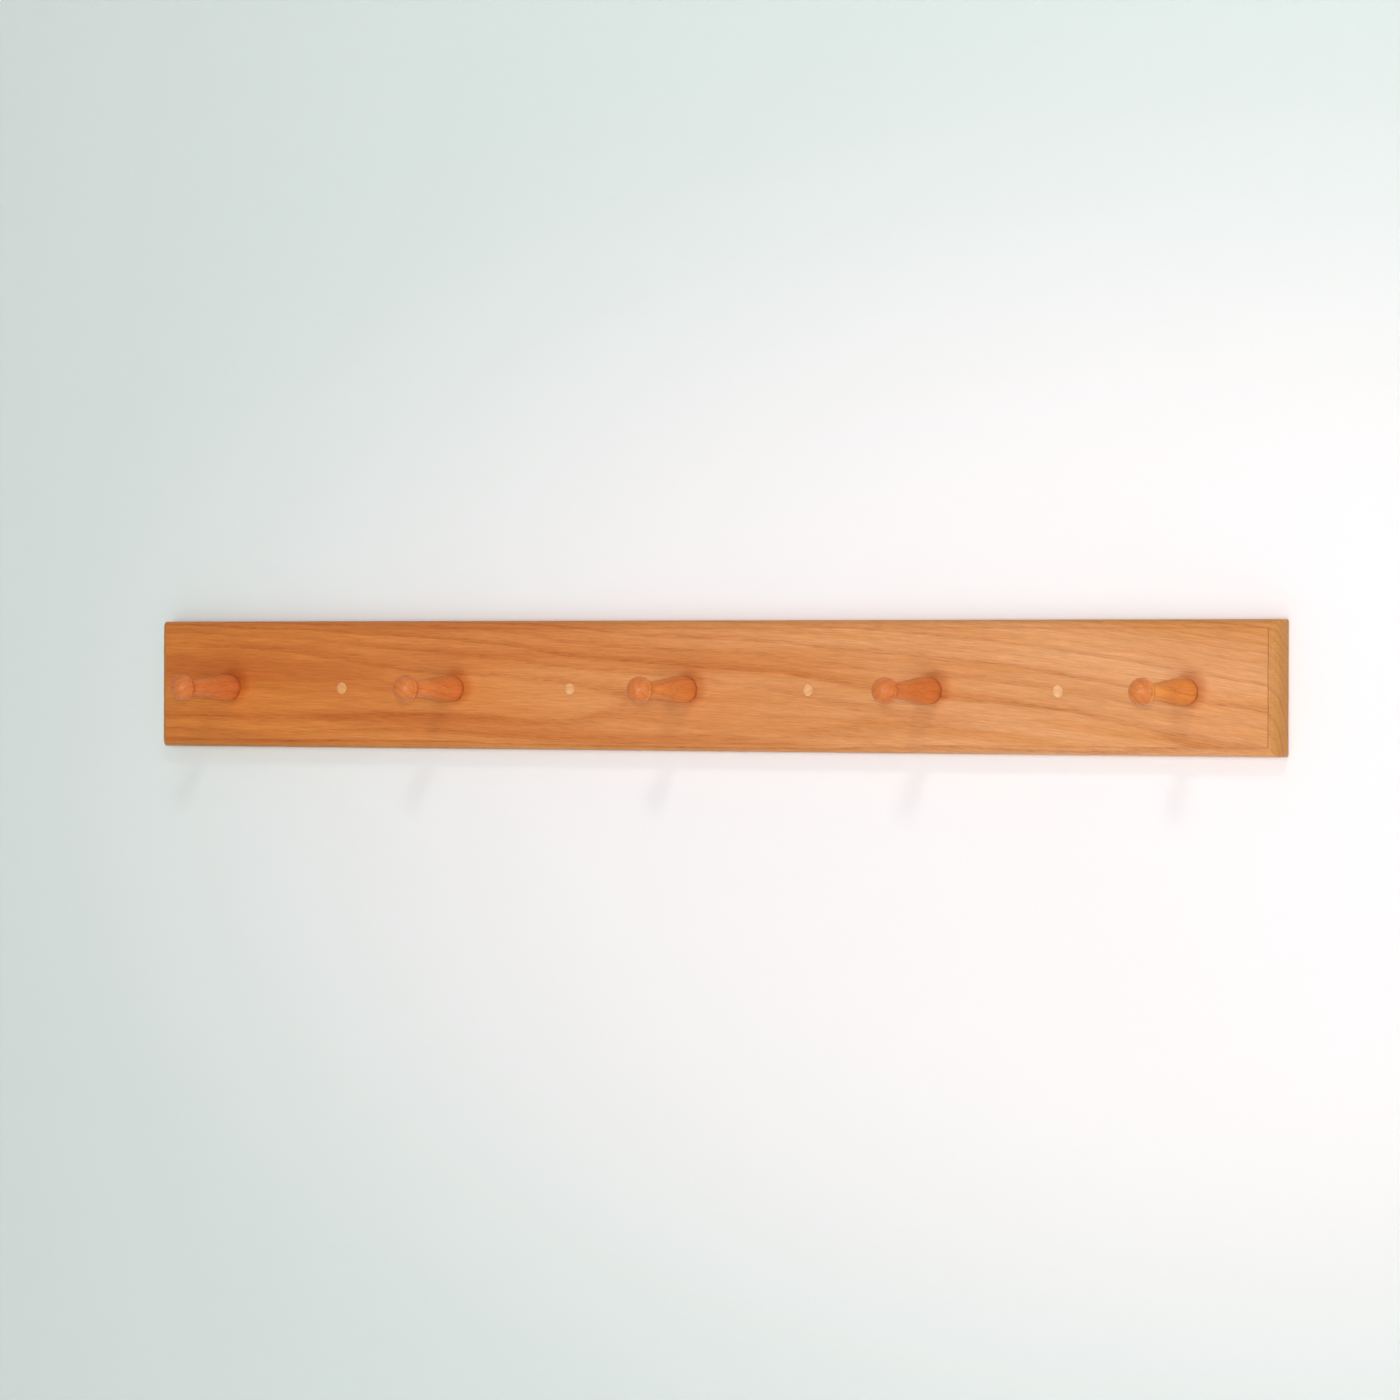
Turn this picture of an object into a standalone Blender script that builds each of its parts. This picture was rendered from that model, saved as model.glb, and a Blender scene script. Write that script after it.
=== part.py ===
"""Oak peg rail for a wall: a moulded backboard, turned pegs, wall screws and the plugs over them.

Frame: metres, +Z up. The origin is the middle of the board's back face, which lies on the wall.
+X runs along the rail, +Y points into the wall and the pegs point along -Y, into the room.
A turned piece is drawn about its own +Z, with zero at the board's front face, and then laid
along -Y.
"""
from math import cos, pi, radians, sin, tan

import bmesh
import bpy
from mathutils import Matrix

# Backboard: one length of planed oak, 42 x 4 x 3/4 in.
BOARD_LENGTH = 1.0668
BOARD_HEIGHT = 0.1016
BOARD_THICKNESS = 0.01905
EDGE_ROUND = 0.00635      # quarter round that the router leaves on all four front edges
EDGE_STEP = 0.0015        # square step between that round and the front face
EDGE_SEGMENTS = 6

# Peg line: pegs at 9 in, a little below the middle of the board, screws halfway between them.
PEG_COUNT = 5
PEG_SPACING = 0.2286
PEG_DROP = 0.0030
PEG_MIDDLE = (PEG_COUNT - 1) / 2
SCREW_COUNT = PEG_COUNT - 1
SCREW_MIDDLE = (SCREW_COUNT - 1) / 2

# Peg: about 3 1/2 in long in all, with a tenon 1/2 in thick and 5/8 in long.
TENON_LENGTH = 0.0159
PEG_EXPOSED = 0.0715      # from the board's face to the tip of the knob
KNOB_RADIUS = 0.0104
KNOB_EQUATOR = 0.0621     # height of the knob's widest circle above the board's face
KNOB_BACK = 0.0080        # how far the knob's rounded back would reach below its equator
KNOB_BACK_ANGLE = radians(50)
NECK_RADIUS = 0.0062
NECK_HEIGHT = 0.0525
BELLY_RADIUS = 0.0103
BELLY_HEIGHT = 0.0065
BASE_RADIUS = 0.0092
TENON_RADIUS = 0.00635
TENON_CHAMFER = 0.0010
BORE_BOTTOM_GAP = 0.0005  # room for glue under the tenon

# Wall screw: number 8, 2 in long, flat head, seated below a 3/8 in counterbore.
SCREW_LENGTH = 0.0508
HEAD_RADIUS = 0.0041
HEAD_LAND = 0.0003
HEAD_HALF_ANGLE = radians(41)
SHANK_RADIUS = 0.0021
POINT_LENGTH = 0.0070
DRIVE_WIDTH = 0.0011
DRIVE_SPAN = 0.0044
DRIVE_DEPTH = 0.0018

# Plug: 3/8 in, glued into the counterbore, with a low dome proud of the face.
PLUG_RADIUS = 0.00476
PLUG_DOME = 0.0008
PLUG_CHAMFER = 0.0006
COUNTERBORE_DEPTH = 0.0096

GAP = 0.0003              # clearance between two pieces that touch
OVERCUT = 0.0020          # how far a cutter runs past the face it starts from
ROUND_STEPS = 32          # facets round a peg and its bore
SMALL_STEPS = 24          # facets round a plug, a screw and its hole
DOME_STEPS = 5            # pieces of each curve of a half outline
BACK_STEPS = 4
STEM_STEPS = 7
BASE_STEPS = 3
PLUG_DOME_STEPS = 4
MERGE = 0.00001

OAK = (0.62, 0.30, 0.11)
PEG_OAK = (0.58, 0.26, 0.09)
PLUG_OAK = (0.72, 0.39, 0.17)
ZINC = (0.62, 0.60, 0.55)


def make_collection(name):
    """A collection linked to the scene."""
    collection = bpy.data.collections.new(name)
    bpy.context.scene.collection.children.link(collection)
    return collection


def make_material(name, color, roughness, metallic):
    """A Principled BSDF with one colour."""
    material = bpy.data.materials.new(name)
    material.use_nodes = True
    material.diffuse_color = (*color, 1.0)
    shader = material.node_tree.nodes["Principled BSDF"]
    shader.inputs["Base Color"].default_value = (*color, 1.0)
    shader.inputs["Roughness"].default_value = roughness
    shader.inputs["Metallic"].default_value = metallic
    return material


def add_object(name, mesh, collection, parent=None, location=(0, 0, 0), turned=False):
    """An object for a mesh; a turned one is laid so that its own +Z points into the room."""
    piece = bpy.data.objects.new(name, mesh)
    collection.objects.link(piece)
    piece.parent = parent
    piece.location = location
    if turned:
        piece.rotation_euler = (pi / 2, 0, 0)
    return piece


def profile_mesh(name, points):
    """A half outline of (radius, height) points, from the top axis point to the bottom one."""
    mesh = bpy.data.meshes.new(name)
    vertices = [(radius, 0, height) for radius, height in points]
    edges = [(i, i + 1) for i in range(len(points) - 1)]
    mesh.from_pydata(vertices, edges, [])
    return mesh


def turn(piece, steps):
    """Spin the piece's half outline once about its own Z."""
    screw = piece.modifiers.new("turn", "SCREW")
    screw.axis = "Z"
    screw.angle = 2 * pi
    screw.steps = steps
    screw.render_steps = steps
    screw.use_merge_vertices = True
    screw.merge_threshold = MERGE
    screw.use_smooth_shade = True


def cut(piece, cutter):
    """Take the cutter's shape out of the piece."""
    boolean = piece.modifiers.new("cut_" + cutter.name, "BOOLEAN")
    boolean.operation = "DIFFERENCE"
    boolean.solver = "EXACT"
    boolean.object = cutter


def hide_cutter(cutter):
    """Show a cutter as wire and keep it out of the built parts."""
    cutter.hide_render = True
    cutter.display_type = "WIRE"


def peg_x(index):
    """Place along the rail of a peg, counted from the left."""
    return (index - PEG_MIDDLE) * PEG_SPACING


def screw_x(index):
    """Place along the rail of a screw and its plug, halfway between two pegs."""
    return (index - SCREW_MIDDLE) * PEG_SPACING


def knob_points():
    """The knob: a domed front half, then its rounded back down to the neck."""
    front = PEG_EXPOSED - KNOB_EQUATOR
    points = []
    for i in range(DOME_STEPS + 1):
        angle = pi / 2 * i / DOME_STEPS
        points.append((KNOB_RADIUS * sin(angle), KNOB_EQUATOR + front * cos(angle)))
    for i in range(1, BACK_STEPS + 1):
        angle = KNOB_BACK_ANGLE * i / BACK_STEPS
        points.append((KNOB_RADIUS * cos(angle), KNOB_EQUATOR - KNOB_BACK * sin(angle)))
    return points


def stem_points():
    """The stem swells on a half cosine wave from the neck to the belly."""
    points = []
    for i in range(STEM_STEPS + 1):
        along = i / STEM_STEPS
        swell = (1 - cos(pi * along)) / 2
        radius = NECK_RADIUS + (BELLY_RADIUS - NECK_RADIUS) * swell
        points.append((radius, NECK_HEIGHT + (BELLY_HEIGHT - NECK_HEIGHT) * along))
    return points


def base_points():
    """The belly rounds in to the shoulder, which stops just clear of the board's face."""
    points = []
    for i in range(1, BASE_STEPS + 1):
        angle = pi / 2 * i / BASE_STEPS
        radius = BASE_RADIUS + (BELLY_RADIUS - BASE_RADIUS) * cos(angle)
        points.append((radius, BELLY_HEIGHT + (GAP - BELLY_HEIGHT) * sin(angle)))
    return points


def tenon_points():
    """The tenon, chamfered at its inner end."""
    bottom = -TENON_LENGTH
    return [
        (TENON_RADIUS, GAP),
        (TENON_RADIUS, bottom + TENON_CHAMFER),
        (TENON_RADIUS - TENON_CHAMFER, bottom),
        (0, bottom),
    ]


def peg_profile():
    """The whole half outline of a peg."""
    return profile_mesh("peg_profile", knob_points() + stem_points() + base_points() + tenon_points())


def plug_profile():
    """A plug: low dome, straight side, chamfered inner end clear of the screw's head."""
    bottom = GAP - COUNTERBORE_DEPTH
    points = []
    for i in range(PLUG_DOME_STEPS + 1):
        angle = pi / 2 * i / PLUG_DOME_STEPS
        points.append((PLUG_RADIUS * sin(angle), PLUG_DOME * cos(angle)))
    points += [
        (PLUG_RADIUS, bottom + PLUG_CHAMFER),
        (PLUG_RADIUS - PLUG_CHAMFER, bottom),
        (0, bottom),
    ]
    return profile_mesh("plug_profile", points)


def screw_profile():
    """A flat-head screw: land, cone under the head, plain shank and a point."""
    top = -COUNTERBORE_DEPTH - GAP
    cone = (HEAD_RADIUS - SHANK_RADIUS) / tan(HEAD_HALF_ANGLE)
    tip = top - SCREW_LENGTH
    points = [
        (0, top),
        (HEAD_RADIUS, top),
        (HEAD_RADIUS, top - HEAD_LAND),
        (SHANK_RADIUS, top - HEAD_LAND - cone),
        (SHANK_RADIUS, tip + POINT_LENGTH),
        (0, tip),
    ]
    return profile_mesh("screw_profile", points)


def screw_hole_profile():
    """The hole for a screw: counterbore, countersunk seat and clearance hole right through."""
    floor = -COUNTERBORE_DEPTH
    cone = (HEAD_RADIUS - SHANK_RADIUS) / tan(HEAD_HALF_ANGLE)
    seat = floor - GAP - HEAD_LAND
    points = [
        (0, OVERCUT),
        (PLUG_RADIUS + GAP, OVERCUT),
        (PLUG_RADIUS + GAP, floor),
        (HEAD_RADIUS + GAP, floor),
        (HEAD_RADIUS + GAP, seat),
        (SHANK_RADIUS + GAP, seat - cone),
        (SHANK_RADIUS + GAP, -BOARD_THICKNESS - OVERCUT),
        (0, -BOARD_THICKNESS - OVERCUT),
    ]
    return profile_mesh("screw_hole_profile", points)


def peg_bore_profile():
    """The blind bore for a peg's tenon."""
    bottom = -TENON_LENGTH - BORE_BOTTOM_GAP
    radius = TENON_RADIUS + GAP
    points = [(0, OVERCUT), (radius, OVERCUT), (radius, bottom), (0, bottom)]
    return profile_mesh("peg_bore_profile", points)


def board_mesh():
    """A block whose front face is stepped in and out to make the routed, mitred edge."""
    body = BOARD_THICKNESS - EDGE_ROUND - EDGE_STEP
    bm = bmesh.new()
    size = Matrix.Diagonal((BOARD_LENGTH, body, BOARD_HEIGHT, 1))
    bmesh.ops.create_cube(bm, size=1, matrix=Matrix.Translation((0, -body / 2, 0)) @ size)
    bm.normal_update()
    front = min(bm.faces, key=lambda face: face.calc_center_median().y)
    inset = rise = 0
    for i in range(1, EDGE_SEGMENTS + 1):
        angle = pi / 2 * i / EDGE_SEGMENTS
        next_inset = EDGE_ROUND * (1 - cos(angle))
        next_rise = EDGE_ROUND * sin(angle)
        bmesh.ops.inset_individual(
            bm, faces=[front], thickness=next_inset - inset, depth=next_rise - rise)
        inset, rise = next_inset, next_rise
    raised = bmesh.ops.extrude_discrete_faces(bm, faces=[front])["faces"]
    corners = {vertex for face in raised for vertex in face.verts}
    bmesh.ops.translate(bm, verts=list(corners), vec=(0, -EDGE_STEP, 0))
    mesh = bpy.data.meshes.new("backboard")
    bm.to_mesh(mesh)
    bm.free()
    return mesh


def make_backboard(parts, cutters, origin):
    """The moulded board with a blind bore for each peg and a stepped hole for each screw."""
    mesh = board_mesh()
    mesh.materials.append(make_material("backboard_oak", OAK, 0.42, 0.0))
    board = add_object("backboard", mesh, parts, origin)
    holes = [("peg_bore", peg_bore_profile(), peg_x, PEG_COUNT, ROUND_STEPS),
             ("screw_hole", screw_hole_profile(), screw_x, SCREW_COUNT, SMALL_STEPS)]
    for name, profile, place, count, steps in holes:
        for i in range(count):
            location = (place(i), -BOARD_THICKNESS, -PEG_DROP)
            cutter = add_object(f"{name}_{i + 1}", profile, cutters, origin, location, turned=True)
            turn(cutter, steps)
            hide_cutter(cutter)
            cut(board, cutter)


def make_turned_row(name, profile, material, place, count, steps, parts, origin):
    """A row of like turned pieces along the rail, each its own object."""
    profile.materials.append(material)
    row = []
    for i in range(count):
        location = (place(i), -BOARD_THICKNESS, -PEG_DROP)
        piece = add_object(f"{name}_{i + 1}", profile, parts, origin, location, turned=True)
        turn(piece, steps)
        row.append(piece)
    return row


def cut_drive(screws, cutters, origin):
    """Cut the crossed driver slots into each screw's head."""
    top = -COUNTERBORE_DEPTH - GAP
    for i, screw in enumerate(screws):
        for arm, angle in enumerate((0, pi / 2)):
            bm = bmesh.new()
            size = Matrix.Diagonal((DRIVE_SPAN, DRIVE_WIDTH, 2 * DRIVE_DEPTH, 1))
            spin = Matrix.Rotation(angle, 4, "Z")
            bmesh.ops.create_cube(bm, size=1, matrix=Matrix.Translation((0, 0, top)) @ spin @ size)
            mesh = bpy.data.meshes.new("drive_slot")
            bm.to_mesh(mesh)
            bm.free()
            slot = add_object(
                f"drive_slot_{i + 1}_{arm + 1}", mesh, cutters, origin, screw.location, turned=True)
            hide_cutter(slot)
            cut(screw, slot)


def build():
    """Clear the scene and make every piece of the rail."""
    for old in list(bpy.data.objects):
        bpy.data.objects.remove(old, do_unlink=True)
    parts = make_collection("wall_peg_rail")
    cutters = make_collection("cutters")
    origin = add_object("wall_face_origin", None, parts)
    make_backboard(parts, cutters, origin)
    oak = make_material("peg_oak", PEG_OAK, 0.32, 0.0)
    make_turned_row("peg", peg_profile(), oak, peg_x, PEG_COUNT, ROUND_STEPS, parts, origin)
    pale = make_material("plug_oak", PLUG_OAK, 0.35, 0.0)
    make_turned_row("screw_plug", plug_profile(), pale, screw_x, SCREW_COUNT, SMALL_STEPS,
                    parts, origin)
    zinc = make_material("screw_zinc", ZINC, 0.35, 1.0)
    screws = make_turned_row("wall_screw", screw_profile(), zinc, screw_x, SCREW_COUNT,
                             SMALL_STEPS, parts, origin)
    cut_drive(screws, cutters, origin)


build()
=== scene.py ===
from math import cos, pi, radians, sin

import bmesh
import bpy
import numpy as np
from mathutils import Matrix, Vector


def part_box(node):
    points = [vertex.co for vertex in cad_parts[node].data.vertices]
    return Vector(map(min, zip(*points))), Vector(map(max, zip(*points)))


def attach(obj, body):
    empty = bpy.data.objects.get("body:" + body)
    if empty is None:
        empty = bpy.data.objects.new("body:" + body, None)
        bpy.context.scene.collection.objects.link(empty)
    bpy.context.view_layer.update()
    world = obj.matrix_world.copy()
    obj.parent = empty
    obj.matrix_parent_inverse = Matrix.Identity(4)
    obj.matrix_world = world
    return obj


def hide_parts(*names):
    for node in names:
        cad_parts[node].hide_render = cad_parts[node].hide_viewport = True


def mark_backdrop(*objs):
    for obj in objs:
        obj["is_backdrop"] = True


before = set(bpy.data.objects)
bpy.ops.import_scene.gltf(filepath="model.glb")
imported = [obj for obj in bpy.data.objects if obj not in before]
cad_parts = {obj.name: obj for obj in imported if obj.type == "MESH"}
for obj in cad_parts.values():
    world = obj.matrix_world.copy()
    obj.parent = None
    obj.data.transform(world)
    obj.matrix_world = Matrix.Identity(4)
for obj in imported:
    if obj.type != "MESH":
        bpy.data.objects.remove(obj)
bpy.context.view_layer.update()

board_low, board_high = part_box("backboard")
board_front = board_low.y


# ---------------------------------------------------------------------------------------------
# Where the rail is looked at from: a long lens, well round to the right of the rail and level
# with it, so that the right-hand end is nearest and its end grain shows.
AIM = Vector((-0.0014, board_high.y, -0.0111))
CAMERA_AZIMUTH = 35.83
CAMERA_ELEVATION = 0.18
CAMERA_DISTANCE = 5.788
CAMERA_ROLL = 0.18
LENS_MM = 191.1
SENSOR_MM = 36.0
FARTHEST_SEEN = 50.0


def out_towards(azimuth, elevation):
    """Unit vector from the rail towards a place in the room: azimuth in degrees from straight
    in front, turning to the rail's right, and elevation in degrees above level."""
    a, e = radians(azimuth), radians(elevation)
    return Vector((sin(a) * cos(e), -cos(a) * cos(e), sin(e)))


def looking_back(aim, towards, distance):
    """The matrix of a camera or lamp that stands that far from aim, in the direction towards,
    and looks back at aim."""
    return (Matrix.Translation(aim + towards * distance)
            @ towards.to_track_quat("Z", "Y").to_matrix().to_4x4())


def new_object(name, data):
    """A new object of the scene that holds that data."""
    thing = bpy.data.objects.new(name, data)
    bpy.context.scene.collection.objects.link(thing)
    return thing


camera_data = bpy.data.cameras.new("room_camera")
camera_data.lens = LENS_MM
camera_data.sensor_width = SENSOR_MM
camera_data.clip_end = FARTHEST_SEEN
camera = new_object("room_camera", camera_data)
back_to_camera = out_towards(CAMERA_AZIMUTH, CAMERA_ELEVATION)
camera.matrix_world = (looking_back(AIM, back_to_camera, CAMERA_DISTANCE)
                       @ Matrix.Rotation(radians(CAMERA_ROLL), 4, "Z"))
bpy.context.scene.camera = camera


# ---------------------------------------------------------------------------------------------
# The room round the rail: a plastered wall in matt off-white emulsion, rolled on, and a pale
# floor. Neither is part of the rail. Each shows from its room side only, and the wall is open
# just inside the rail's outline, so that the rail can be looked at from behind and from below.
WALL_SIZE = (7.0, 3.6)
WALL_GAP = 0.0004
HOLE_INSET = 0.0015
FLOOR_DROP = 1.45
FLOOR_DEPTH = 7.0
WALL_PAINT = "#F4F0F1"
# Painted shade, in place of light falling off: wall and floor turn towards these greyer colours away
# from the middle of the room.
WALL_PAINTED_SHADE = "#D8E2DF"
FLOOR_PAINT = "#E4E1DC"
FLOOR_PAINTED_SHADE = "#DAD8D4"
# The painted shade's lightest place, its reach along X, Y and Z, and where it starts and is full.
PAINTED_SHADE_MIDDLE = (0.42, 0.0, -0.08)
PAINTED_SHADE_REACH = (1.25, 2.0, 0.62)
PAINTED_SHADE_FADE = (0.3, 1.0)
PAINT_ROUGHNESS = 0.85
ROLLER_GRAIN_MM = 3.0
ROLLER_BUMP = {"Strength": 0.25, "Distance": 0.0002}


def linear(hex_colour):
    """The linear RGBA of an sRGB hex colour."""
    parts = np.array([int(hex_colour[i:i + 2], 16) for i in (1, 3, 5)]) / 255
    low, high = parts / 12.92, ((parts + 0.055) / 1.055) ** 2.4
    return (*np.where(parts <= 0.04045, low, high), 1.0)


def add(tree, kind, inputs=(), out=0, **settings):
    """Add the shader node of that kind with its settings, set or link its inputs (a list in
    socket order, or a dict by socket), and return one of its outputs. A Mix of two colours has
    its factor at socket 0 and its colours at 6 and 7, and gives its result at output 2."""
    node = tree.nodes.new("ShaderNode" + kind)
    for key, value in settings.items():
        setattr(node, key, value)
    for key, value in inputs.items() if isinstance(inputs, dict) else enumerate(inputs):
        if isinstance(value, bpy.types.NodeSocket):
            tree.links.new(value, node.inputs[key])
        else:
            node.inputs[key].default_value = value
    return node.outputs[out] if node.outputs else node


def new_material(name, preview):
    """A material with no nodes yet, and its node tree."""
    material = bpy.data.materials.new(name)
    material.use_nodes = True
    material.diffuse_color = linear(preview)
    material.node_tree.nodes.clear()
    return material, material.node_tree


def paint_material(name, colour, shade):
    """Matt emulsion with the fine stipple of a roller. Painted shade, in place of light falling off:
    it turns a little greyer and greener away from the middle of the room; tone = distance from
    there, squashed to the room's shape."""
    material, tree = new_material(name, colour)
    place = add(tree, "TexCoord", out="Object")
    squashed = add(tree, "Mapping", {"Vector": place, "Location": PAINTED_SHADE_MIDDLE,
                                     "Scale": PAINTED_SHADE_REACH}, vector_type="TEXTURE")
    reach = add(tree, "VectorMath", [squashed], out="Value", operation="LENGTH")
    fade = add(tree, "MapRange", [reach, *PAINTED_SHADE_FADE], interpolation_type="SMOOTHSTEP")
    tone = add(tree, "Mix", {0: fade, 6: linear(colour), 7: linear(shade)}, 2, data_type="RGBA")
    stipple = add(tree, "TexNoise", {"Vector": place, "Scale": 1000 / ROLLER_GRAIN_MM,
                                     "Detail": 2.0})
    bump = add(tree, "Bump", {"Height": stipple, **ROLLER_BUMP})
    paint = add(tree, "BsdfPrincipled", {"Base Color": tone, "Roughness": PAINT_ROUGHNESS,
                                         "Normal": bump})
    behind = add(tree, "NewGeometry", out="Backfacing")
    clear = add(tree, "BsdfTransparent")
    sides = add(tree, "MixShader", [behind, paint, clear])
    add(tree, "OutputMaterial", [sides])
    return material


def add_sheet(name, corners, faces, material):
    """One flat sheet of the room, its corners anticlockwise from the room side."""
    mesh = bpy.data.meshes.new(name)
    mesh.from_pydata(corners, [], faces)
    mesh.materials.append(material)
    sheet = new_object(name, mesh)
    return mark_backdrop(sheet)


wall_y = board_high.y + WALL_GAP
floor_z = -FLOOR_DROP
half_wall = WALL_SIZE[0] / 2
ceiling_z = floor_z + WALL_SIZE[1]
hole_x, hole_z = board_high.x - HOLE_INSET, board_high.z - HOLE_INSET
outer = [(-half_wall, wall_y, floor_z), (half_wall, wall_y, floor_z),
         (half_wall, wall_y, ceiling_z), (-half_wall, wall_y, ceiling_z)]
inner = [(-hole_x, wall_y, -hole_z), (hole_x, wall_y, -hole_z),
         (hole_x, wall_y, hole_z), (-hole_x, wall_y, hole_z)]
add_sheet("wall", outer + inner, [(0, 1, 5, 4), (1, 2, 6, 5), (2, 3, 7, 6), (3, 0, 4, 7)],
          paint_material("emulsion_off_white", WALL_PAINT, WALL_PAINTED_SHADE))
front_y = wall_y - FLOOR_DEPTH
add_sheet("floor", [(-half_wall, front_y, floor_z), (half_wall, front_y, floor_z),
                    (half_wall, wall_y, floor_z), (-half_wall, wall_y, floor_z)],
          [(0, 1, 2, 3)], paint_material("painted_floor", FLOOR_PAINT, FLOOR_PAINTED_SHADE))


# ---------------------------------------------------------------------------------------------
# Studio light: a wide soft light in front, a lamp by the camera for the glint on each knob, a
# weak one high on the right for the pegs' faint shadows, one far round to the right for the end
# grain, one behind the wall for the rail's back, one over the floor, and an even pale room.
ROOM_LIGHT = "#F7F8FA"
ROOM_STRENGTH = 0.39
ROOM_SEEN = 0.80
WHITE = "#FFFFFF"
WARM_WHITE = "#FFFBF2"
RAIL_MIDDLE = (0.0, 0.0, 0.0)
FLOOR_MIDDLE = (0.0, -3.2, floor_z)
# Each is (azimuth, elevation, metres away, metres wide, watts, colour, aim, spread in degrees).
SOFTBOXES = {
    "front_soft_light": (13, 0, 3.0, 1.2, 33, WHITE, RAIL_MIDDLE, 180),
    "lamp_by_the_camera": (35, 3, 5.6, 0.12, 52, WHITE, RAIL_MIDDLE, 180),
    "high_right_light": (27, 41, 2.6, 0.26, 8.0, WHITE, RAIL_MIDDLE, 180),
    "right_lamp": (84, 0, 2.0, 0.40, 4.8, WARM_WHITE, RAIL_MIDDLE, 180),
    "light_behind": (212, 22, 3.0, 1.2, 48, WHITE, RAIL_MIDDLE, 180),
    "floor_light": (0, 89, 3.2, 2.0, 30, WHITE, FLOOR_MIDDLE, 90),
}


def softbox(name, azimuth, elevation, distance, side, watts, colour, aim, spread):
    """A square area light that stands in that direction from aim and shines back at it."""
    data = bpy.data.lights.new(name, "AREA")
    data.shape = "SQUARE"
    data.size = side
    data.energy = watts
    data.spread = radians(spread)
    data.color = linear(colour)[:3]
    light = new_object(name, data)
    light.matrix_world = looking_back(Vector(aim), out_towards(azimuth, elevation), distance)


for light_name, settings in SOFTBOXES.items():
    softbox(light_name, *settings)
world = bpy.data.worlds.new("pale_room")
bpy.context.scene.world = world
world.use_nodes = True
world.node_tree.nodes.clear()
seen = add(world.node_tree, "LightPath", out="Is Camera Ray")
strength = add(world.node_tree, "MapRange", [seen, 0.0, 1.0, ROOM_STRENGTH, ROOM_SEEN])
room = add(world.node_tree, "Background", [linear(ROOM_LIGHT), strength])
add(world.node_tree, "OutputWorld", [room])
bpy.context.scene.view_settings.view_transform = "Standard"


# ---------------------------------------------------------------------------------------------
# Backboard: one flat-sawn length of red oak, planed, then run round all four front edges with
# a bearing-guided beading cutter that leaves a quarter round under a small square step, and
# drilled for pegs and screws. Satin varnish on every side but the back, which stays bare.
BEAD_RADIUS = 0.00635
QUIRK = 0.0015
BOARD_ARRIS = 0.0004
CORNER_ARRIS = 0.0015
CORNER_EASE = 0.0043
ARC_STEPS = 16
ARRIS_STEPS = 4
PEG_BORE = (0.00645, 0.0164)
PLUG_HOLE = (0.00486, 0.0096)
SCREW_SEAT = (0.0044, 0.0006, 0.0023)
SCREW_CLEARANCE = 0.0024
OVERCUT = 0.002
HOLE_STEPS = 64
SHARP_ANGLE = 32.0
MERGE_DISTANCE = 1e-6
FACES_THE_WALL = 0.95

# The log: each noise field is (grain size in millimetres along and across, detail, roughness).
OAK_FIELDS = {
    "sway": ((420, 70, 70), 2.0, 0.5),
    "ripple": ((50, 10, 10), 2.0, 0.5),
    "streak": ((480, 20, 20), 3.0, 0.55),
    "fibre": ((26, 0.9, 0.9), 4.0, 0.7),
    "pore": ((14, 0.8, 0.8), 2.0, 0.5),
    "ray": ((9, 5, 0.7), 1.0, 0.5),
}
RING_MM = 5.2
RING_SWAY = 0.016
RING_RIPPLE = 0.0016
BAND_RISE = (0.0, 0.12)
BAND_FALL = (0.65, 0.10)
WEAK_RING = 0.2
PORE_EDGE = (0.46, 0.68)
STRAY_PORES = 0.25
RAY_EDGE = (0.62, 0.76)
RAY_STRENGTH = 0.3
RAY_WRAP = 0.08
RED_EDGE = (0.34, 0.66)
END_GRAIN = (0.02, 0.22, 0.0, 0.8)
FLECK = (0.3, 0.7, 0.84, 1.15)
RING_STAIN = "#E8D4C4"
PORE_STAIN = "#DABCA6"

# The surface: fibres stand up a little, pores and rings sink in, and pores are duller. The gloss
# is the varnish's, so the wood's own is kept low.
FIBRE_RELIEF = 0.35
PORE_RELIEF = -1.0
RING_RELIEF = -0.3
GRAIN_BUMP = {"Strength": 0.3, "Distance": 0.0003}
PORE_DULLNESS = 0.15
WOOD_GLOSS = {"IOR": 1.45, "Specular IOR Level": 0.12, "Coat IOR": 1.5}
# Painted shade round each peg's foot, with the varnish that pools there: the board is darkened in a
# patch a little above and to the right of each foot.
FOOT_SHADE_SHIFT = (0.0035, 0.0025)
FOOT_SHADE_REACH = (0.0180, 0.0085)
FOOT_SHADE_AND_STAIN = "#EEDCCC"

BOARD_OAK = ("#DEA06E", "#D48D52", "#D9863D", "#C46C2F", "#B87E3C")
BARE_OAK = ("#DDBB93", "#D3A97D", "#D3AA7E", "#C79A6E", "#B58D60")
BOARD_LOG = ((0.0, -0.080, -0.012), (0.0, 1.6, -1.0), (1.0, 0.0, 0.14))
BOARD_BEND = (0.02, 0.12)
SATIN_VARNISH = (0.45, 0.15, 0.3)
NO_VARNISH = (0.78, 0.0, 0.5)
DEEP_TO_PALE = (-0.56, 0.45)
BARE_TONE = 0.6
VARNISHED_FIGURE = 0.55
BARE_FIGURE = 0.9


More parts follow.
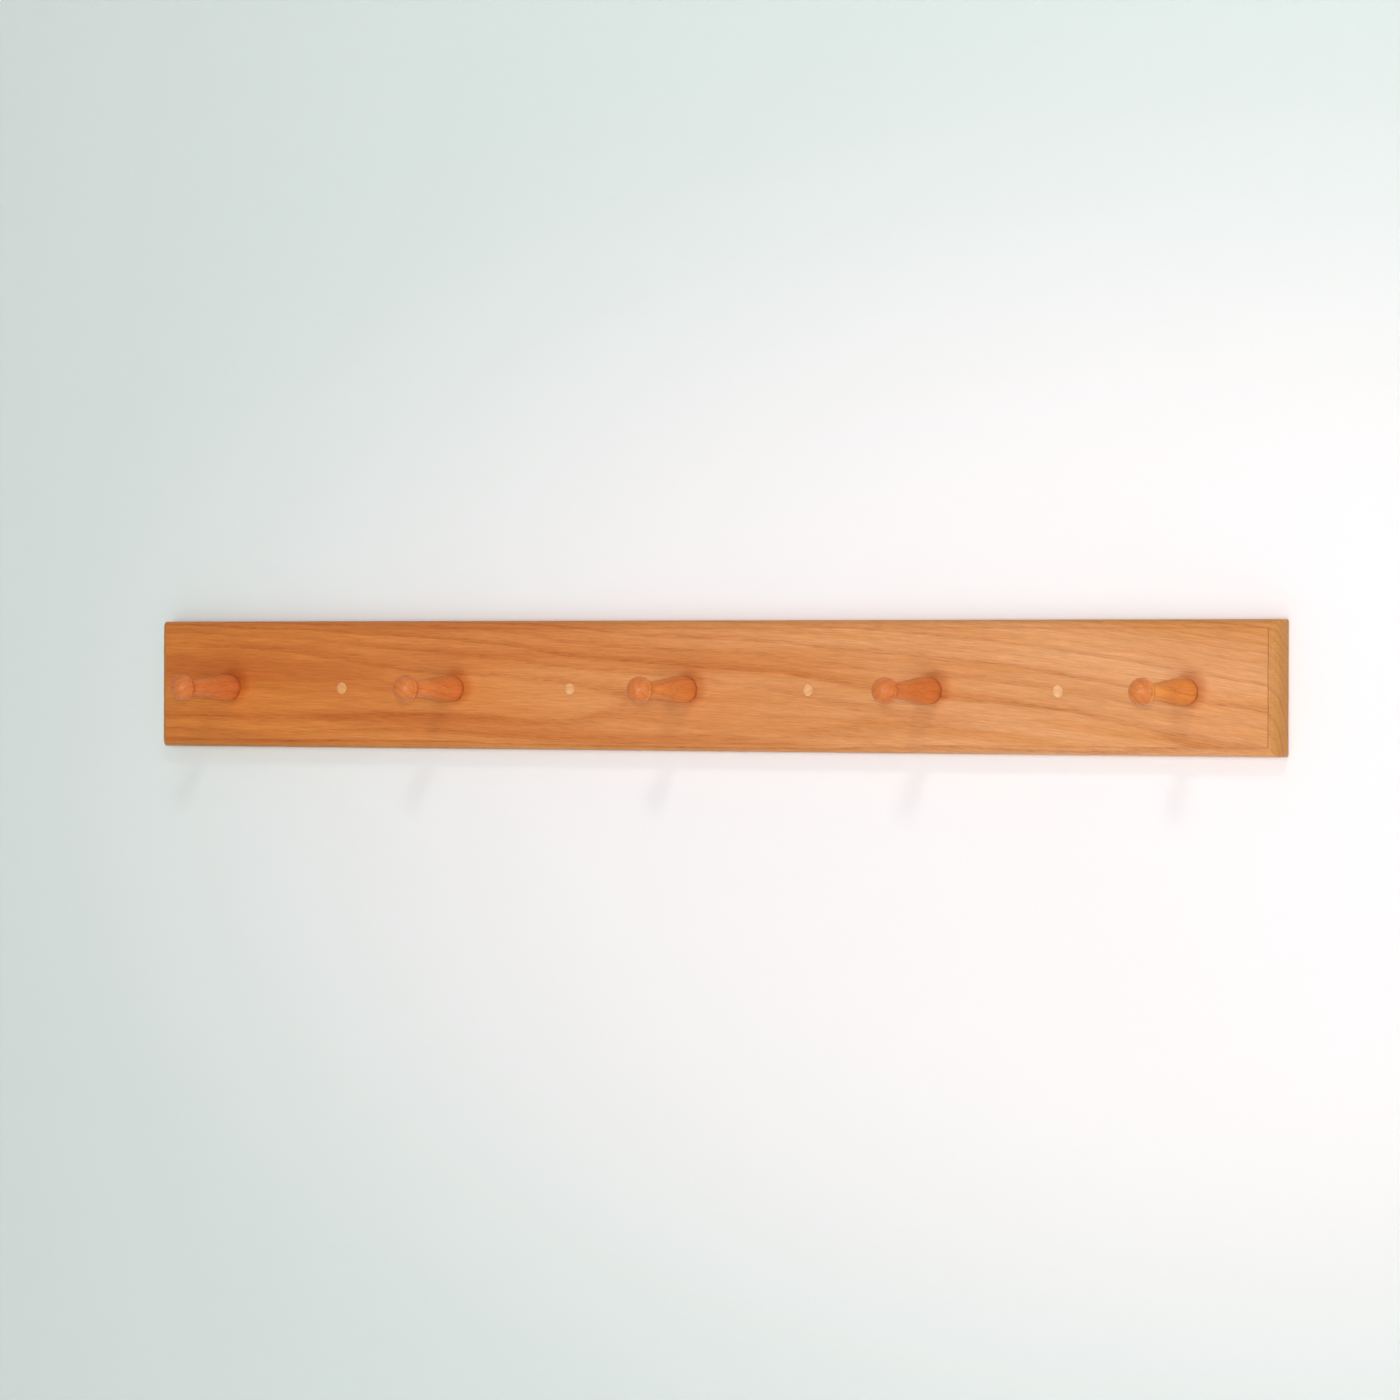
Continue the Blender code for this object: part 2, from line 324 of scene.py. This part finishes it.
def mesh_piece(name, vertices, faces, material):
    """A new object at the origin, smooth but for its sharp edges, with its doubled points
    merged and every face turned outwards."""
    mesh = bpy.data.meshes.new(name)
    mesh.from_pydata(vertices, [], faces)
    bm = bmesh.new()
    bm.from_mesh(mesh)
    bmesh.ops.remove_doubles(bm, verts=bm.verts, dist=MERGE_DISTANCE)
    bmesh.ops.recalc_face_normals(bm, faces=bm.faces)
    bm.to_mesh(mesh)
    bm.free()
    mesh.shade_smooth()
    mesh.set_sharp_from_angle(angle=radians(SHARP_ANGLE))
    mesh.materials.append(material)
    return new_object(name, mesh)


def grid_faces(rows, columns):
    """Quads of a grid that closes on itself along its columns: point (i, j) joins (i, j + 1),
    (i + 1, j + 1) and (i + 1, j), with j + 1 wrapped."""
    i, j = np.meshgrid(np.arange(rows - 1), np.arange(columns), indexing="ij")
    after = (j + 1) % columns
    quads = np.stack([i * columns + j, i * columns + after,
                      (i + 1) * columns + after, (i + 1) * columns + j], axis=-1)
    return quads.reshape(-1, 4)


def arc(centre, radii, start, end, steps):
    """Points of an arc in the profile plane, centre + radii * (cos, sin) of angles from start
    to end in degrees: of a circle for one radius, of an ellipse for two."""
    angles = np.radians(np.linspace(start, end, steps + 1))
    return np.array(centre) + np.array(radii) * np.stack([np.cos(angles), np.sin(angles)], axis=1)


def edge_profile(thickness):
    """The board's edge in section, as (outset from the front face's border, height above the
    wall): back arris, flat side, quarter round, square step and the step's own arris."""
    back_arris = (BEAD_RADIUS - BOARD_ARRIS, BOARD_ARRIS)
    bead = (0.0, thickness - QUIRK - BEAD_RADIUS)
    step_arris = (-BOARD_ARRIS, thickness - BOARD_ARRIS)
    return np.concatenate([arc(back_arris, BOARD_ARRIS, -90, 0, ARRIS_STEPS),
                           arc(bead, BEAD_RADIUS, 0, 90, ARC_STEPS),
                           arc(step_arris, BOARD_ARRIS, 0, 90, ARRIS_STEPS)])


def board_shell(low, high):
    """The board without holes. Each profile point (outset o, height h) is carried round the
    front face's rectangle: a corner point moves out by o - r along both sides and by r along
    its own ray. The corner's rounding r is never more than o, and on the left-hand corners,
    which are rubbed rounder, it grows by ease * (1 - (o / bead)^4) over the quarter round."""
    outset, height = edge_profile(high.y - low.y).T
    half = np.array([(high.x - low.x) / 2, (high.z - low.z) / 2]) - BEAD_RADIUS
    turn = np.radians(np.linspace(0, 90, ARRIS_STEPS + 1))
    angles = np.concatenate([turn + quarter * pi / 2 for quarter in range(4)])
    rays = np.stack([np.cos(angles), np.sin(angles)], axis=1)
    signs = np.repeat([(1, 1), (-1, 1), (-1, -1), (1, -1)], len(turn), axis=0)
    eased = CORNER_EASE * (1 - (outset[:, None] / BEAD_RADIUS) ** 4) * (signs[:, 0] < 0)
    rounding = np.minimum(np.clip(outset, 0, None)[:, None], CORNER_ARRIS + eased)[..., None]
    ring = signs * half + signs * (outset[:, None, None] - rounding) + rays * rounding
    heights = np.broadcast_to(height[:, None], ring.shape[:2])
    points = np.stack([ring[..., 0], high.y - heights, ring[..., 1]], axis=-1)
    rows, columns = points.shape[:2]
    faces = grid_faces(rows, columns).tolist()
    faces.append(list(range(columns)))
    faces.append(list(range((rows - 1) * columns, rows * columns)))
    return points.reshape(-1, 3), faces


def turned(profile, centre, steps):
    """A solid of revolution about an axis along Y through centre. A profile point (radius r,
    height h above the board's face) goes to (r cos t, face - h, r sin t) for t all the way
    round, and the ends of the profile lie on the axis."""
    radius, height = np.asarray(profile, float).T
    t = np.arange(steps) * 2 * pi / steps
    x = centre.x + radius[:, None] * np.cos(t)
    z = centre.z + radius[:, None] * np.sin(t)
    y = board_front - np.broadcast_to(height[:, None], x.shape)
    return np.stack([x, y, z], axis=-1).reshape(-1, 3), grid_faces(len(radius), steps).tolist()


def drill(piece, profile, centre):
    """Cut a turned hole into a piece and keep the result in its mesh."""
    bit = mesh_piece("bit", *turned(profile, centre, HOLE_STEPS), piece.data.materials[0])
    boolean = piece.modifiers.new("drill", "BOOLEAN")
    boolean.operation = "DIFFERENCE"
    boolean.solver = "EXACT"
    boolean.object = bit
    shapes = bpy.context.evaluated_depsgraph_get()
    drilled = bpy.data.meshes.new_from_object(piece.evaluated_get(shapes))
    piece.modifiers.clear()
    piece.data = drilled
    bpy.data.objects.remove(bit)


def log_space(tree, place, pith, turn, bend):
    """Where a point lies in its log, in three ways: as a place along the log's own axes, whose
    grain drops by curve * (x - start)^2 past the bend's start; as a distance from the pith; and
    unrolled to (along, out from the pith, round the pith), for the rays."""
    start, curve = bend
    logwise = add(tree, "Mapping", {"Vector": place, "Location": pith,
                                    "Rotation": [radians(angle) for angle in turn]},
                  vector_type="TEXTURE")
    along = add(tree, "SeparateXYZ", [logwise])
    past = add(tree, "Math", [along, start], operation="SUBTRACT")
    past = add(tree, "Math", [past, 0.0], operation="MAXIMUM")
    past = add(tree, "Math", [past, past], operation="MULTIPLY")
    drop = add(tree, "Math", [past, curve], operation="MULTIPLY")
    drop = add(tree, "CombineXYZ", {2: drop})
    logwise = add(tree, "VectorMath", [logwise, drop], operation="ADD")
    side_y = add(tree, "SeparateXYZ", [logwise], "Y")
    side_z = add(tree, "SeparateXYZ", [logwise], "Z")
    section = add(tree, "CombineXYZ", [0.0, side_y, side_z])
    radius = add(tree, "VectorMath", [section], "Value", operation="LENGTH")
    angle = add(tree, "Math", [side_z, side_y], operation="ARCTAN2")
    round_pith = add(tree, "Math", [angle, RAY_WRAP], operation="MULTIPLY")
    return logwise, radius, add(tree, "CombineXYZ", [along, radius, round_pith])


def ring_band(tree, radius, field, figure):
    """How strongly a point lies in a ring's band of open pores: ring number = (distance from
    the pith + sway + ripple) / ring width, the band comes in and fades out over the first part
    of each ring, and each ring has a strength of its own."""
    swayed = add(tree, "Math", [field["sway"], RING_SWAY, radius], operation="MULTIPLY_ADD")
    swayed = add(tree, "Math", [field["ripple"], RING_RIPPLE, swayed], operation="MULTIPLY_ADD")
    ring = add(tree, "Math", [swayed, 1000 / RING_MM], operation="MULTIPLY")
    phase = add(tree, "Math", [ring], operation="FRACT")
    number = add(tree, "Math", [ring], operation="FLOOR")
    strength = add(tree, "TexWhiteNoise", {"W": number}, noise_dimensions="1D")
    strength = add(tree, "MapRange", [strength, 0.0, 1.0, WEAK_RING * figure, figure])
    rise = add(tree, "MapRange", [phase, *BAND_RISE], interpolation_type="SMOOTHSTEP")
    fall = add(tree, "MapRange", [phase, *BAND_FALL], interpolation_type="SMOOTHSTEP")
    band = add(tree, "Math", [rise, fall], operation="MULTIPLY")
    return add(tree, "Math", [band, strength], operation="MULTIPLY")


def pooled_varnish_and_shade(tree, place, foot, spacing):
    """How near a point is to the foot of its nearest peg, where the board is darkened by painted
    shade, as if the peg shaded it, and by varnish that pools there: pegs stand every spacing
    from foot, so X is wrapped to one peg's share of the board."""
    from_foot = add(tree, "Math", [add(tree, "SeparateXYZ", [place]), foot.x],
                    operation="SUBTRACT")
    from_foot = add(tree, "Math", [from_foot, spacing / 2, -spacing / 2], operation="WRAP")
    height = add(tree, "SeparateXYZ", [place], "Z")
    wrapped = add(tree, "CombineXYZ", [from_foot, 0.0, height])
    shade_and_varnish_middle = (FOOT_SHADE_SHIFT[0], 0.0, foot.z + FOOT_SHADE_SHIFT[1])
    reach = add(tree, "VectorMath", [wrapped, shade_and_varnish_middle], "Value", operation="DISTANCE")
    return add(tree, "MapRange", [reach, *FOOT_SHADE_REACH], interpolation_type="SMOOTHSTEP")


def oak_material(name, colours, log, varnish, tone, figure, bend=(0.0, 0.0), feet=None):
    """Red oak: warm bands of open pores on a gold and red ground, under clear varnish. The
    bands are cylinders round a pith line that runs along the log's X. The fields are noise
    drawn out along the grain; rays are drawn out away from the pith. Pores are drawn coarser
    than real.

    colours = (pale gold, pale red, deep gold, deep red, end grain), log = (pith place, turn in
    degrees, grain axis), varnish = (roughness, coat weight, coat roughness), tone = how pale,
    or the X it turns from deep to pale between, figure = how strong the grain shows, bend =
    (start X, curve) of the grain, and feet = (place of one peg, spacing) for the painted shade
    and pooled varnish round each peg's foot."""
    pale_gold, pale_red, deep_gold, deep_red, end_colour = (linear(c) for c in colours)
    pith, turn, grain_axis = log
    roughness, coat_weight, coat_roughness = varnish
    material, tree = new_material(name, colours[1])
    place = add(tree, "TexCoord", out="Object")
    logwise, radius, rayward = log_space(tree, place, pith, turn, bend)
    field = {}
    for kind, (sizes, detail, field_roughness) in OAK_FIELDS.items():
        drawn = add(tree, "Mapping", {"Vector": rayward if kind == "ray" else logwise,
                                      "Scale": [1000 / size for size in sizes]})
        field[kind] = add(tree, "TexNoise", {"Vector": drawn, "Scale": 1.0, "Detail": detail,
                                             "Roughness": field_roughness})

    early = ring_band(tree, radius, field, figure)
    pores = add(tree, "MapRange", [field["pore"], *PORE_EDGE], interpolation_type="SMOOTHSTEP")
    share = add(tree, "Math", [early, 1 - STRAY_PORES, STRAY_PORES * figure],
                operation="MULTIPLY_ADD")
    pores = add(tree, "Math", [pores, share], operation="MULTIPLY")
    rays = add(tree, "MapRange", [field["ray"], *RAY_EDGE, 0.0, RAY_STRENGTH],
               interpolation_type="SMOOTHSTEP")

    if isinstance(tone, tuple):
        tone = add(tree, "MapRange", [add(tree, "SeparateXYZ", [place]), *tone],
                   interpolation_type="SMOOTHSTEP")
    redness = add(tree, "MapRange", [field["streak"], *RED_EDGE],
                  interpolation_type="SMOOTHSTEP")
    gold = add(tree, "Mix", {0: tone, 6: deep_gold, 7: pale_gold}, 2, data_type="RGBA")
    red = add(tree, "Mix", {0: tone, 6: deep_red, 7: pale_red}, 2, data_type="RGBA")
    colour = add(tree, "Mix", {0: redness, 6: gold, 7: red}, 2, data_type="RGBA")
    facing = add(tree, "VectorMath", [add(tree, "TexCoord", out="Normal"), grain_axis], "Value",
                 operation="DOT_PRODUCT")
    facing = add(tree, "Math", [facing], operation="ABSOLUTE")
    across = add(tree, "MapRange", [facing, *END_GRAIN], interpolation_type="SMOOTHSTEP")
    colour = add(tree, "Mix", {0: across, 6: colour, 7: end_colour}, 2, data_type="RGBA")
    stains_and_painted_shade = [(early, RING_STAIN), (pores, PORE_STAIN), (rays, RING_STAIN)]
    # Painted shade and pooled varnish darken the board round each peg's foot.
    if feet:
        stains_and_painted_shade.append((pooled_varnish_and_shade(tree, place, *feet), FOOT_SHADE_AND_STAIN))
    for amount, stain in stains_and_painted_shade:
        colour = add(tree, "Mix", {0: amount, 6: colour, 7: linear(stain)}, 2, data_type="RGBA",
                     blend_type="MULTIPLY")
    fleck = add(tree, "MapRange", [field["fibre"], *FLECK])
    fleck = add(tree, "CombineXYZ", [fleck, fleck, fleck])
    colour = add(tree, "Mix", {0: 1.0, 6: colour, 7: fleck}, 2, data_type="RGBA",
                 blend_type="MULTIPLY")

    relief = add(tree, "Math", [field["fibre"], FIBRE_RELIEF], operation="MULTIPLY")
    relief = add(tree, "Math", [pores, PORE_RELIEF, relief], operation="MULTIPLY_ADD")
    relief = add(tree, "Math", [early, RING_RELIEF, relief], operation="MULTIPLY_ADD")
    bump = add(tree, "Bump", {"Height": relief, **GRAIN_BUMP})
    rough = add(tree, "Math", [pores, PORE_DULLNESS, roughness], operation="MULTIPLY_ADD")
    wood = add(tree, "BsdfPrincipled",
               {"Base Color": colour, "Roughness": rough, "Coat Weight": coat_weight,
                "Coat Roughness": coat_roughness, "Normal": bump, **WOOD_GLOSS})
    add(tree, "OutputMaterial", [wood])
    return material


def middle(node):
    """The middle of a CAD node's box."""
    low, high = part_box(node)
    return (low + high) / 2


peg_spacing = middle("peg_2").x - middle("peg_1").x
varnished = oak_material("varnished_red_oak", BOARD_OAK, BOARD_LOG, SATIN_VARNISH, DEEP_TO_PALE,
                         VARNISHED_FIGURE, BOARD_BEND, (middle("peg_1"), peg_spacing))
bare = oak_material("bare_planed_oak", BARE_OAK, BOARD_LOG, NO_VARNISH, BARE_TONE, BARE_FIGURE,
                    BOARD_BEND)

backboard = mesh_piece("rail_backboard", *board_shell(board_low, board_high), varnished)
bore_radius, bore_depth = PEG_BORE
peg_bore = [(0, OVERCUT), (bore_radius, OVERCUT), (bore_radius, -bore_depth), (0, -bore_depth)]
for index in range(1, 6):
    drill(backboard, peg_bore, middle(f"peg_{index}"))
hole_radius, hole_depth = PLUG_HOLE
seat_radius, seat_land, seat_cone = SCREW_SEAT
cone_top = -hole_depth - seat_land
through = board_low.y - board_high.y - OVERCUT
screw_hole = [(0, OVERCUT), (hole_radius, OVERCUT), (hole_radius, -hole_depth),
              (seat_radius, -hole_depth), (seat_radius, cone_top),
              (SCREW_CLEARANCE, cone_top - seat_cone), (SCREW_CLEARANCE, through), (0, through)]
for index in range(1, 5):
    drill(backboard, screw_hole, middle(f"screw_plug_{index}"))
backboard.data.set_sharp_from_angle(angle=radians(SHARP_ANGLE))
backboard.data.materials.append(bare)
normals = np.empty(len(backboard.data.polygons) * 3)
backboard.data.polygons.foreach_get("normal", normals)
on_back = (normals.reshape(-1, 3)[:, 1] > FACES_THE_WALL).astype(np.int32)
backboard.data.polygons.foreach_set("material_index", on_back)
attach(backboard, "root")
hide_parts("backboard")


# ---------------------------------------------------------------------------------------------
# Pegs: five mushroom-head pegs turned from oak squares, grain along the peg, sanded on the
# lathe and dipped in gloss varnish. Each has a half-inch tenon glued into a blind bore, and its
# belly rounds in to a shoulder that sits on the board.
KNOB_RADIUS = 0.0104
KNOB_HEIGHT = 0.0621
KNOB_BACK = 0.0080
KNOB_BACK_ANGLE = 50
NECK = (0.0062, 0.0525)
BELLY = (0.0103, 0.0065)
BASE_RADIUS = 0.0092
SHOULDER_GAP = 0.00005
TENON = (0.00635, 0.0159)
TENON_CHAMFER = 0.0010
COVE_POWER = 0.55
DOME_STEPS = 22
BACK_STEPS = 14
COVE_STEPS = 4
STEM_STEPS = 39
BASE_STEPS = 12
PEG_STEPS = 112
PEG_OAK = ("#EC9E52", "#E08D44", "#E88848", "#D9783D", "#CA7238")
PEG_TONES = (0.0, 0.15, 0.4, 0.2, 0.9)
PEG_VARNISH = (0.55, 0.30, 0.24)
PEG_FIGURE = 0.4
PITH_DISTANCE = 0.030
PITH_TURN = 2.1
GRAIN_LEAN = 3.0
GRAIN_WANDER = 2.0
ALONG_Y = (0, 1, 0)


def peg_profile(tip):
    """Half outline of a peg from the tip to the tenon's end, as (radius, height): elliptical
    dome, elliptical back of the knob, a cove in to the neck, a stem that swells on half a
    cosine wave from the neck to the belly, an elliptical round in to the shoulder, and the
    chamfered tenon."""
    neck, belly = np.array(NECK), np.array(BELLY)
    belly_radius, belly_height = BELLY
    tenon_radius, tenon_length = TENON
    dome = arc((0, KNOB_HEIGHT), (KNOB_RADIUS, tip - KNOB_HEIGHT), 90, 0, DOME_STEPS)
    back = arc((0, KNOB_HEIGHT), (KNOB_RADIUS, KNOB_BACK), 0, -KNOB_BACK_ANGLE, BACK_STEPS)
    c = np.linspace(0, 1, COVE_STEPS + 1)[1:, None]
    cove = back[-1] + (neck - back[-1]) * np.hstack([c ** COVE_POWER, c])
    s = np.linspace(0, 1, STEM_STEPS + 1)[1:, None]
    stem = neck + (belly - neck) * np.hstack([(1 - np.cos(pi * s)) / 2, s])
    base = arc((BASE_RADIUS, belly_height), (belly_radius - BASE_RADIUS,
                                             belly_height - SHOULDER_GAP), 0, -90, BASE_STEPS)
    tenon = [(tenon_radius, SHOULDER_GAP), (tenon_radius, TENON_CHAMFER - tenon_length),
             (tenon_radius - TENON_CHAMFER, -tenon_length), (0, -tenon_length)]
    return np.concatenate([dome[:-1], back, cove, stem, base[1:], tenon])


for index in range(1, 6):
    node = f"peg_{index}"
    centre = middle(node)
    tip = board_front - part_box(node)[0].y
    pith = (centre.x + PITH_DISTANCE * cos(index * PITH_TURN), 0.0,
            centre.z + PITH_DISTANCE * sin(index * PITH_TURN))
    turn = (0.0, GRAIN_LEAN, 90.0 + GRAIN_WANDER * sin(index))
    peg_oak = oak_material(f"glossy_peg_oak_{index}", PEG_OAK, (pith, turn, ALONG_Y),
                           PEG_VARNISH, PEG_TONES[index - 1], PEG_FIGURE)
    peg = mesh_piece(f"turned_peg_{index}", *turned(peg_profile(tip), centre, PEG_STEPS), peg_oak)
    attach(peg, "root")
    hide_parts(node)


# ---------------------------------------------------------------------------------------------
# Plugs: four pale oak plugs cut across the grain of a lighter offcut, glued over the screws
# and left as a low dome, just proud of the face. A fine dark line shows round each, where a
# hair's gap is left between the plug and its hole.
PLUG_RADIUS = 0.00476
PLUG_DOME = 0.0008
PLUG_CHAMFER = 0.0006
PLUG_BOTTOM = 0.0093
PLUG_DOME_STEPS = 16
PLUG_OAK = ("#F0B888", "#EBAD7B", "#E8A66C", "#E29A5E", "#DFA36C")
PLUG_VARNISH = (0.42, 0.3, 0.25)
PLUG_FIGURE = 0.3
PLUG_PITH = (-0.02, 0.045)
PLUG_SKEW = 25.0
PLUG_SKEW_STEP = 1.7
ALONG_X = (1, 0, 0)


def plug_profile():
    """Half outline of a plug: a flattened elliptical dome, the side, and a chamfered foot."""
    return np.concatenate([
        arc((0, 0), (PLUG_RADIUS, PLUG_DOME), 90, 0, PLUG_DOME_STEPS),
        [(PLUG_RADIUS, PLUG_CHAMFER - PLUG_BOTTOM), (PLUG_RADIUS - PLUG_CHAMFER, -PLUG_BOTTOM),
         (0, -PLUG_BOTTOM)]])


for index in range(1, 5):
    node = f"screw_plug_{index}"
    centre = middle(node)
    pith = (centre.x, PLUG_PITH[0], centre.z + PLUG_PITH[1])
    turn = (0.0, PLUG_SKEW * sin(index * PLUG_SKEW_STEP), 0.0)
    plug_oak = oak_material(f"plug_oak_{index}", PLUG_OAK, (pith, turn, ALONG_X), PLUG_VARNISH,
                            (index - 1) / 3, PLUG_FIGURE)
    plug = mesh_piece(f"dome_plug_{index}", *turned(plug_profile(), centre, HOLE_STEPS), plug_oak)
    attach(plug, "root")
    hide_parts(node)


# ---------------------------------------------------------------------------------------------
# Wall screws: number 8 flat-head wood screws, cold-headed and rolled from steel wire, bright
# zinc plated, with a cross recess. The thread runs from under the plain shank to a gimlet point
# that stands out of the back of the board, where the wall would be.
HEAD_RADIUS = 0.0041
HEAD_LAND = 0.0003
HEAD_CONE = 0.00242
HEAD_RINGS = 25
SHANK_RADIUS = 0.00195
SHANK_TOP = 0.001
CORE_RADIUS = 0.00135
CREST_RADIUS = 0.0021
CREST_FOOT = 0.55
CREST_POWER = 1.2
THREAD_PITCH = 0.0028
THREAD_START = 0.0150
FADE_PITCHES = 2
POINT_LENGTH = 0.0070
POINT_POWER = 0.75
SCREW_STEPS = 48
STEPS_PER_PITCH = 16
CROSS_HALF_WIDTH = 0.0006
CROSS_WALL = 0.00025
CROSS_REACH = 0.0023
CROSS_SLOPE = 2.2
CROSS_DEPTH = 0.0019
ZINC = "#C9C8C2"
ZINC_BLUE = "#B4BDC6"
ZINC_DULL = "#8E8D88"
ZINC_PATCH_MM = 4.0
ZINC_STAIN_MM = 11.0
DULL_EDGE = (0.52, 0.75)
ZINC_ROUGHNESS = (0.22, 0.46)


def zinc_material():
    """Bright zinc plate: pale steel with faint blue and dull patches a few millimetres wide."""
    material, tree = new_material("zinc_plated_steel", ZINC)
    place = add(tree, "TexCoord", out="Object")
    patches = add(tree, "TexNoise", {"Vector": place, "Scale": 1000 / ZINC_PATCH_MM,
                                     "Detail": 3.0})
    stain = add(tree, "TexNoise", {"Vector": place, "Scale": 1000 / ZINC_STAIN_MM, "Detail": 4.0})
    blue = add(tree, "Mix", {0: patches, 6: linear(ZINC), 7: linear(ZINC_BLUE)}, 2,
               data_type="RGBA")
    dull = add(tree, "MapRange", [stain, *DULL_EDGE])
    colour = add(tree, "Mix", {0: dull, 6: blue, 7: linear(ZINC_DULL)}, 2, data_type="RGBA")
    rough = add(tree, "MapRange", [stain, 0.0, 1.0, *ZINC_ROUGHNESS])
    plate = add(tree, "BsdfPrincipled", {"Base Color": colour, "Roughness": rough,
                                         "Metallic": 1.0})
    add(tree, "OutputMaterial", [plate])
    return material


def around(radius, depth, t):
    """Rings of points round the screw's axis: (r cos t, depth, r sin t)."""
    radius, depth = np.broadcast_arrays(radius + 0 * t, depth)
    return np.stack([radius * np.cos(t), depth, radius * np.sin(t)], axis=-1)


def screw_mesh(centre, top, length):
    """Head and shank as one surface round the screw's axis. Below the head the radius at depth
    d and angle t is the core's, plus the thread's height times a peaked wave of
    d / pitch - t / turn; the thread fades in at its start and everything shrinks to nothing over
    the point. The top is pressed in over a cross, deepest in the middle."""
    t = np.arange(SCREW_STEPS) * 2 * pi / SCREW_STEPS
    head = around(np.linspace(0, 1, HEAD_RINGS)[:, None] * HEAD_RADIUS, 0.0, t)
    off_centre = np.abs(head[..., [0, 2]]).min(axis=-1)
    reach = np.hypot(head[..., 0], head[..., 2])
    wall = np.clip((CROSS_HALF_WIDTH - off_centre) / CROSS_WALL + 0.5, 0, 1)
    slope = np.clip((CROSS_REACH - reach) / CROSS_REACH * CROSS_SLOPE, 0, 1)
    head[..., 1] = wall * slope * CROSS_DEPTH
    cone_foot = HEAD_LAND + HEAD_CONE
    cone = around(np.array([[HEAD_RADIUS], [SHANK_RADIUS]]), np.array([[HEAD_LAND], [cone_foot]]), t)

    rows = int((length - THREAD_START) / THREAD_PITCH * STEPS_PER_PITCH)
    threaded = np.linspace(THREAD_START, length, rows)
    depth = np.concatenate([[cone_foot + SHANK_TOP], threaded])[:, None]
    wave = np.abs(((depth / THREAD_PITCH - t / (2 * pi)) % 1) * 2 - 1)
    crest = np.clip((wave - CREST_FOOT) / (1 - CREST_FOOT), 0, 1) ** CREST_POWER
    fade = np.clip((depth - THREAD_START) / (FADE_PITCHES * THREAD_PITCH), 0, 1)
    body = SHANK_RADIUS + (CORE_RADIUS - SHANK_RADIUS) * np.clip(fade * 2, 0, 1)
    taper = np.clip((length - depth) / POINT_LENGTH, 0, 1) ** POINT_POWER
    shaft = around((body + (CREST_RADIUS - CORE_RADIUS) * crest * fade) * taper, depth, t)
    points = np.concatenate([head, cone, shaft]) + np.array([centre.x, top, centre.z])
    return points.reshape(-1, 3), grid_faces(len(points), SCREW_STEPS).tolist()


zinc = zinc_material()
for index in range(1, 5):
    node = f"wall_screw_{index}"
    low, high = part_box(node)
    shape = screw_mesh(middle(node), low.y, high.y - low.y)
    screw = mesh_piece(f"plated_screw_{index}", *shape, zinc)
    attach(screw, "root")
    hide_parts(node)
